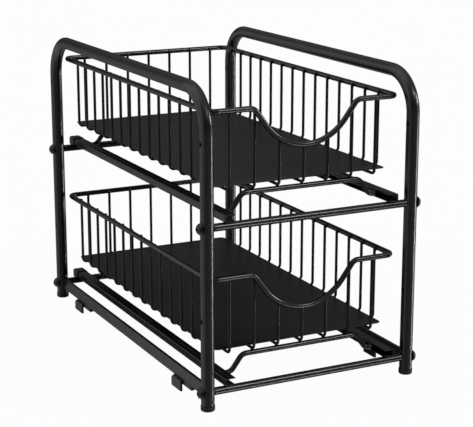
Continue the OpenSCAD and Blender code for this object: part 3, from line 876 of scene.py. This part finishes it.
@dataclass
class RailPair:
    """The two folded rails of one level, with their welds.

    Fields: tier is the level; sheet, width and fold are the sheet's thickness, the
    rail's width and the outer radius of its folds; edge_r breaks its edges; pad_depth,
    pad_length and pad_front are the pressed stop's depth, length and distance behind the
    rail's front; a weld is weld_in inside the crossbar's axis and weld_drop under the rail.
    """

    tier: Tier
    sheet: float = 0.8 * MM
    width: float = 9.4 * MM
    fold: float = 1.3 * MM
    pad_depth: float = 1.1 * MM
    pad_length: float = 5.0 * MM
    pad_front: float = 71.1 * MM
    edge_r: float = 0.12 * MM
    weld_in: float = 2.3 * MM
    weld_drop: float = 0.35 * MM

    def section(self, height: float) -> tuple[np.ndarray, np.ndarray]:
        """The rail's outer and inner skin in X and Z, for a web at X = 0 on the +X side.

        Both skins go from the upper free edge to the lower one, with matching points:
        the flange, a quarter circle, the web, a quarter circle and the flange. The
        inner skin's quarter circles are smaller by the sheet's thickness.

        Args:
            height: the rail's height.

        Returns:
            Two (n, 2) arrays.
        """
        v = np.linspace(math.pi / 2, 0, FOLD_STEPS)
        arc = points_at(np.cos(v), np.sin(v))
        web = np.linspace(1, -1, WEB_STEPS)[1:-1, None] * [[0.0, 1.0]]
        half = height / 2
        centre = np.array([-self.fold, half - self.fold])
        skins = []
        for radius, edge in ((self.fold, half), (self.fold - self.sheet, half - self.sheet)):
            upper = np.concatenate([[[-self.width, edge]], centre + radius * arc])
            inside = np.array([-self.fold + radius, 0.0])
            middle = inside + web * (half - self.fold)
            skins.append(np.concatenate([upper, middle, (upper * [1.0, -1.0])[::-1]]))
        return skins[0], skins[1]

    def rail(self, side: Side) -> Shell:
        """One rail with its pressed stop.

        The skins are carried along Y. Near the stop the web's inner skin moves in by
        depth (1 - u^2)^2 (1 - w^2)^2, where u runs over the stop's length and w over
        its height.

        Args:
            side: where the rail is.

        Returns:
            The rail's closed shell.
        """
        low, high = node_box(f"{self.tier.value}_{side.name.lower()}_rail")
        web_x = high[0] if side is Side.RIGHT else -low[0]
        middle_z = (low[2] + high[2]) / 2
        outer, inner = self.section(high[2] - low[2])
        ring = np.concatenate([outer, inner[::-1]])
        pad_y = low[1] + self.pad_front
        reach, rise = self.pad_length * PAD_REACH, self.pad_length * PAD_RISE
        y = np.sort(np.concatenate([np.linspace(low[1], high[1], RAIL_RINGS),
                                    pad_y + np.linspace(-1, 1, PAD_RINGS) * reach]))
        u = np.clip((y - pad_y) / reach, -1, 1)[:, None]
        w = np.clip(ring[:, 1] / rise, -1, 1)[None]
        inside = np.arange(len(ring)) >= len(outer)
        on_web = (inside & (ring[:, 0] > -self.fold - WEB_SLACK))[None]
        pad = self.pad_depth * ((1 - u ** 2) * (1 - w ** 2)) ** 2 * on_web
        x = side.value * (web_x + ring[None, :, 0] - pad)
        points = points_at(x, y[:, None], ring[:, 1] + middle_z)
        count, half = len(ring), len(outer)
        k = np.arange(half - 1)
        start = np.stack([k, k + 1, count - 2 - k, count - 1 - k], -1)
        finish = start[:, ::-1] + (len(y) - 1) * count
        faces = np.concatenate([ring_faces(len(y), count, False), start, finish])
        return Shell(points.reshape(-1, 3), faces[:, ::-side.value], NO_TRIS)

    def welds(self) -> Shell:
        """Short fillets between the rails and the crossbars, on the inner side of each bar.

        Returns:
            One shell with all four.
        """
        low, high = node_box(f"{self.tier.value}_right_rail")
        bar_low, bar_high = node_box(f"{self.tier.value}_rear_crossbar")
        x, y = (low[0] + high[0]) / 2, (bar_low[1] + bar_high[1]) / 2 - self.weld_in
        return weld_spots(points_at(SIGNS[:, None] * x, SIGNS * y, low[2] - self.weld_drop),
                          Bead.RAIL)

    def build(self, finishes: Finishes) -> list[bpy.types.Object]:
        """Builds and dresses the rails and their welds.

        Args:
            finishes: the finishes to choose from.

        Returns:
            The pieces.
        """
        key, pieces = self.tier.value, []
        for side in Side:
            name = f"{key}_{side.name.lower()}_rail"
            piece = self.rail(side).build(name + "_piece")
            soften(piece, self.edge_r, 1)
            pieces.append(install(piece, finishes.rail, "frame", [name]))
        welds = self.welds().build(f"{key}_rail_welds")
        return pieces + [install(welds, finishes.weld, "frame", [])]


@dataclass
class Stand:
    """The fixed frame: hoops, crossbars, strips, anchors, feet, rail caps and bolts.

    Fields: tube_d is the hoop tube's diameter; strip_t, strip_h and strip_inset are the
    strip's thickness, its height and how far its middle lies inside that of its legs; an
    anchor's tongue has a thickness, a width and a cut corner, its body a height and a
    length, and edge_r breaks its edges; a weld's middle lies weld_out outside the strip's
    face and weld_off off the tube.
    """

    tube_d: float = 11.2 * MM
    strip_t: float = 3.4 * MM
    strip_inset: float = 0.6 * MM
    strip_h: float = 11.0 * MM
    tongue_t: float = 2.2 * MM
    tongue_w: float = 19.0 * MM
    tongue_cut: float = 2.5 * MM
    body_h: float = 3.6 * MM
    body_l: float = 36.0 * MM
    edge_r: float = 0.45 * MM
    weld_out: float = 0.2 * MM
    weld_off: float = 0.1 * MM

    def __post_init__(self) -> None:
        """Reads the places of the legs and the strips."""
        low, high = node_box("rear_right_foot")
        self.leg_x, self.leg_y = (low[0] + high[0]) / 2, (low[1] + high[1]) / 2
        low, high = node_box("right_side_strip")
        self.strip_z = (low[2] + high[2]) / 2

    def strip_welds(self) -> Shell:
        """Upright weld beads where the strips meet the legs, on both faces of each strip.

        A bead that is c off the middle of a leg touches its tube of radius R at the
        distance sqrt(R^2 - c^2) along Y.

        Returns:
            One shell with all eight.
        """
        offset = SIGNS[:, None, None] * (self.strip_t / 2 + self.weld_out) - self.strip_inset
        back = np.sqrt((self.tube_d / 2) ** 2 - offset ** 2) + self.weld_off
        places = points_at(SIGNS[:, None] * (self.leg_x + offset), SIGNS * (self.leg_y - back),
                           self.strip_z)
        return weld_spots(places, Bead.STRIP)

    def anchors(self, side: Side) -> Shell:
        """The two small anchors under one strip: a body along it and a flat tongue.

        The tongues are at the rear ends on the left and at the front ends on the right,
        where the places of the left side are mirrored.

        Args:
            side: where the strip is.

        Returns:
            One shell with both anchors.
        """
        low, high = node_box(side.name.lower() + "_anchors")
        top = self.strip_z - self.strip_h / 2
        face = low[0] + self.tongue_t
        near, far = (low[1], high[1]) if side is Side.LEFT else (-high[1], -low[1])
        shells = []
        for end in (far, near + self.body_l):
            body = np.array([[end - self.body_l, top - self.body_h], [end, top - self.body_h],
                             [end, top], [end - self.body_l, top]])
            cut = self.tongue_cut
            tongue = np.array([[end - self.tongue_w, low[2]], [end, low[2]], [end, top - cut],
                               [end - cut, top], [end - self.tongue_w, top]])
            if side is Side.RIGHT:
                body, tongue = (outline[::-1] * [-1, 1] for outline in (body, tongue))
            shells += [prism(body, face, face + self.strip_t), prism(tongue, low[0], face)]
        return join(shells)

    def build(self, finishes: Finishes) -> list[bpy.types.Object]:
        """Builds the welds and anchors and dresses the CAD nodes.

        Args:
            finishes: the finishes to choose from.

        Returns:
            The pieces.
        """
        welds = self.strip_welds().build("strip_welds")
        pieces = [install(welds, finishes.weld, "frame", [])]
        for side in Side:
            name = side.name.lower() + "_anchors"
            piece = self.anchors(side).build(name + "_piece", smooth=False)
            soften(piece, self.edge_r, 2)
            pieces.append(install(piece, finishes.frame, "frame", [name]))
        plan = [(finishes.frame, ("hoop", "crossbar", "strip")),
                (finishes.plastic, ("foot", "caps")), (finishes.bolt, "bolts")]
        for node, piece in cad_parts.items():
            for material, endings in plan:
                if node.endswith(endings):
                    dress(piece, material)
                    pieces.append(piece)
        return pieces


# ---- studio


def stand_up(name: str, data: bpy.types.ID, axes: list[np.ndarray]) -> bpy.types.Object:
    """Puts a camera or a lamp into the scene.

    Args:
        name: its name.
        data: the camera or the light.
        axes: its X, Y and Z axis and its place.

    Returns:
        The new object.
    """
    made = bpy.data.objects.new(name, data)
    made.matrix_world = Matrix([*np.stack(axes, 1).tolist(), [0, 0, 0, 1]])
    bpy.context.scene.collection.objects.link(made)
    return made


@dataclass(frozen=True)
class Lamp:
    """A far soft lamp.

    Fields: toward is the direction from the stand to the lamp, strength is in watts per
    square metre and angle is how wide the lamp looks, in degrees.
    """

    name: str
    toward: Triple
    strength: float
    angle: float

    def build(self) -> None:
        """Adds the lamp, whose Z axis points away from the stand and whose X axis is level."""
        data = bpy.data.lights.new(self.name, "SUN")
        data.energy = self.strength
        data.angle = math.radians(self.angle)
        z = unit(np.array(self.toward))
        # the small push gives a lamp right overhead an X axis too
        x = unit(np.cross([0.0, 0.0, 1.0], z) + [1e-6, 0.0, 0.0])
        stand_up(self.name, data, [x, np.cross(z, x), z, np.zeros(3)])


LAMPS = (
    Lamp("right_strip", (0.91, -0.331, 0.249), 1.1, 11),
    Lamp("front_strip", (0.435, -0.648, 0.625), 0.7, 9),
    Lamp("left_box", (-0.90, 0.35, 0.25), 1.1, 84),
    Lamp("ceiling", (-0.25, 0.1, 1.0), 0.35, 50),
)


@dataclass
class Studio:
    """The pale floor, the room and the camera.

    Fields: eye is the camera's place in metres, yaw and pitch its direction in degrees,
    focal its focal length in pixels of an image that is image_width wide, sensor its
    width in millimetres and sight how far it sees. The floor reaches floor_reach metres
    each way, floor_drop below the feet. The camera sees the floor and the room as light
    as white says; what shines sees the floor as light as glow says, with a share polish
    of a mirror of polish_roughness. The room goes from the colour horizon to the colour
    overhead between the heights of room_range.
    """

    eye: Triple = (-0.573, -1.173, 0.452)
    yaw: float = 26.69
    pitch: float = 14.44
    focal: float = 1448.0
    image_width: int = 473
    sensor: float = 36.0
    sight: float = 60.0
    floor_reach: float = 30.0
    floor_drop: float = 5e-5
    white: float = 0.97
    glow: float = 0.05
    polish: float = 0.65
    polish_roughness: float = 0.2
    horizon: Triple = (0.05, 0.05, 0.052)
    overhead: Triple = (0.5, 0.5, 0.51)
    room_range: tuple[float, float] = (0.15, 0.95)

    def camera(self) -> None:
        """Places the camera: forward is (sin yaw cos pitch, cos yaw cos pitch, -sin pitch)."""
        data = bpy.data.cameras.new("camera")
        data.sensor_width = self.sensor
        data.lens = self.focal * self.sensor / self.image_width
        data.clip_end = self.sight
        yaw, pitch = math.radians(self.yaw), math.radians(self.pitch)
        forward = np.array([math.sin(yaw) * math.cos(pitch), math.cos(yaw) * math.cos(pitch),
                            -math.sin(pitch)])
        right = np.array([math.cos(yaw), -math.sin(yaw), 0.0])
        axes = [right, np.cross(right, forward), -forward, np.array(self.eye)]
        bpy.context.scene.camera = stand_up("camera", data, axes)

    def floor(self) -> None:
        """A wide pale polished floor, which shows white and keeps a soft shadow.

        The camera sees it mostly as plain white. What shines on the stand sees the white
        a little and the floor's polish more, so it mirrors the lamps from below.
        """
        mesh = bpy.data.meshes.new("floor")
        r, z = self.floor_reach, -self.floor_drop
        mesh.from_pydata([(-r, -r, z), (r, -r, z), (r, r, z), (-r, r, z)], [], [(0, 1, 2, 3)])
        floor = bpy.data.objects.new("floor", mesh)
        bpy.context.scene.collection.objects.link(floor)
        material = bpy.data.materials.new("pale_floor")
        graph = Graph(material)
        mirrored = graph.ray("Glossy") | graph.ray("Transmission")
        seen = graph.ray("Camera") * self.white | mirrored * self.glow
        matt = graph.node("ShaderNodeBsdfDiffuse", {"Color": colour(0.5, 0.5, 0.5)})
        light = graph.node("ShaderNodeEmission", {"Color": colour(1, 1, 1), "Strength": 1.0})
        mirror = graph.node("ShaderNodeBsdfGlossy",
                            {"Color": colour(1, 1, 1), "Roughness": self.polish_roughness})
        pale = graph.node("ShaderNodeMixShader", {0: seen, 1: matt.outputs[0], 2: light.outputs[0]})
        both = graph.node("ShaderNodeMixShader",
                          {0: mirrored * self.polish, 1: pale.outputs[0], 2: mirror.outputs[0]})
        graph.node("ShaderNodeOutputMaterial", {"Surface": both.outputs[0]})
        mesh.materials.append(material)

    def world(self) -> None:
        """A soft room, dim at the horizon and light overhead, which the camera sees white."""
        world = bpy.data.worlds.new("room")
        bpy.context.scene.world = world
        graph = Graph(world)
        up = graph.part(graph.node("ShaderNodeTexCoord").outputs["Generated"], "Z")
        tint = graph.mix(up.ramp(*self.room_range), colour(*self.horizon), colour(*self.overhead))
        tint = graph.mix(graph.ray("Camera"), tint, colour(self.white, self.white, self.white))
        light = graph.node("ShaderNodeBackground", {"Color": tint, "Strength": 1.0})
        graph.node("ShaderNodeOutputWorld", {"Surface": light.outputs[0]})

    def build(self) -> None:
        """Builds the studio."""
        bpy.context.scene.view_settings.view_transform = "Standard"
        self.camera()
        self.floor()
        self.world()
        for lamp in LAMPS:
            lamp.build()


def main() -> None:
    """Builds the baskets, the rails, the stand and the studio in order and reports each piece."""
    logging.basicConfig(level=logging.INFO, format="%(name)s %(message)s")
    lower, upper = WireBasket(Tier.LOWER), WireBasket(Tier.UPPER)
    finishes = Finishes(lower.run_x)
    for group in (lower, upper, RailPair(Tier.LOWER), RailPair(Tier.UPPER), Stand()):
        for piece in group.build(finishes):
            LOG.info("%s: %d faces", piece.name, len(piece.data.polygons))
    Studio().build()


if __name__ == "__main__":
    main()
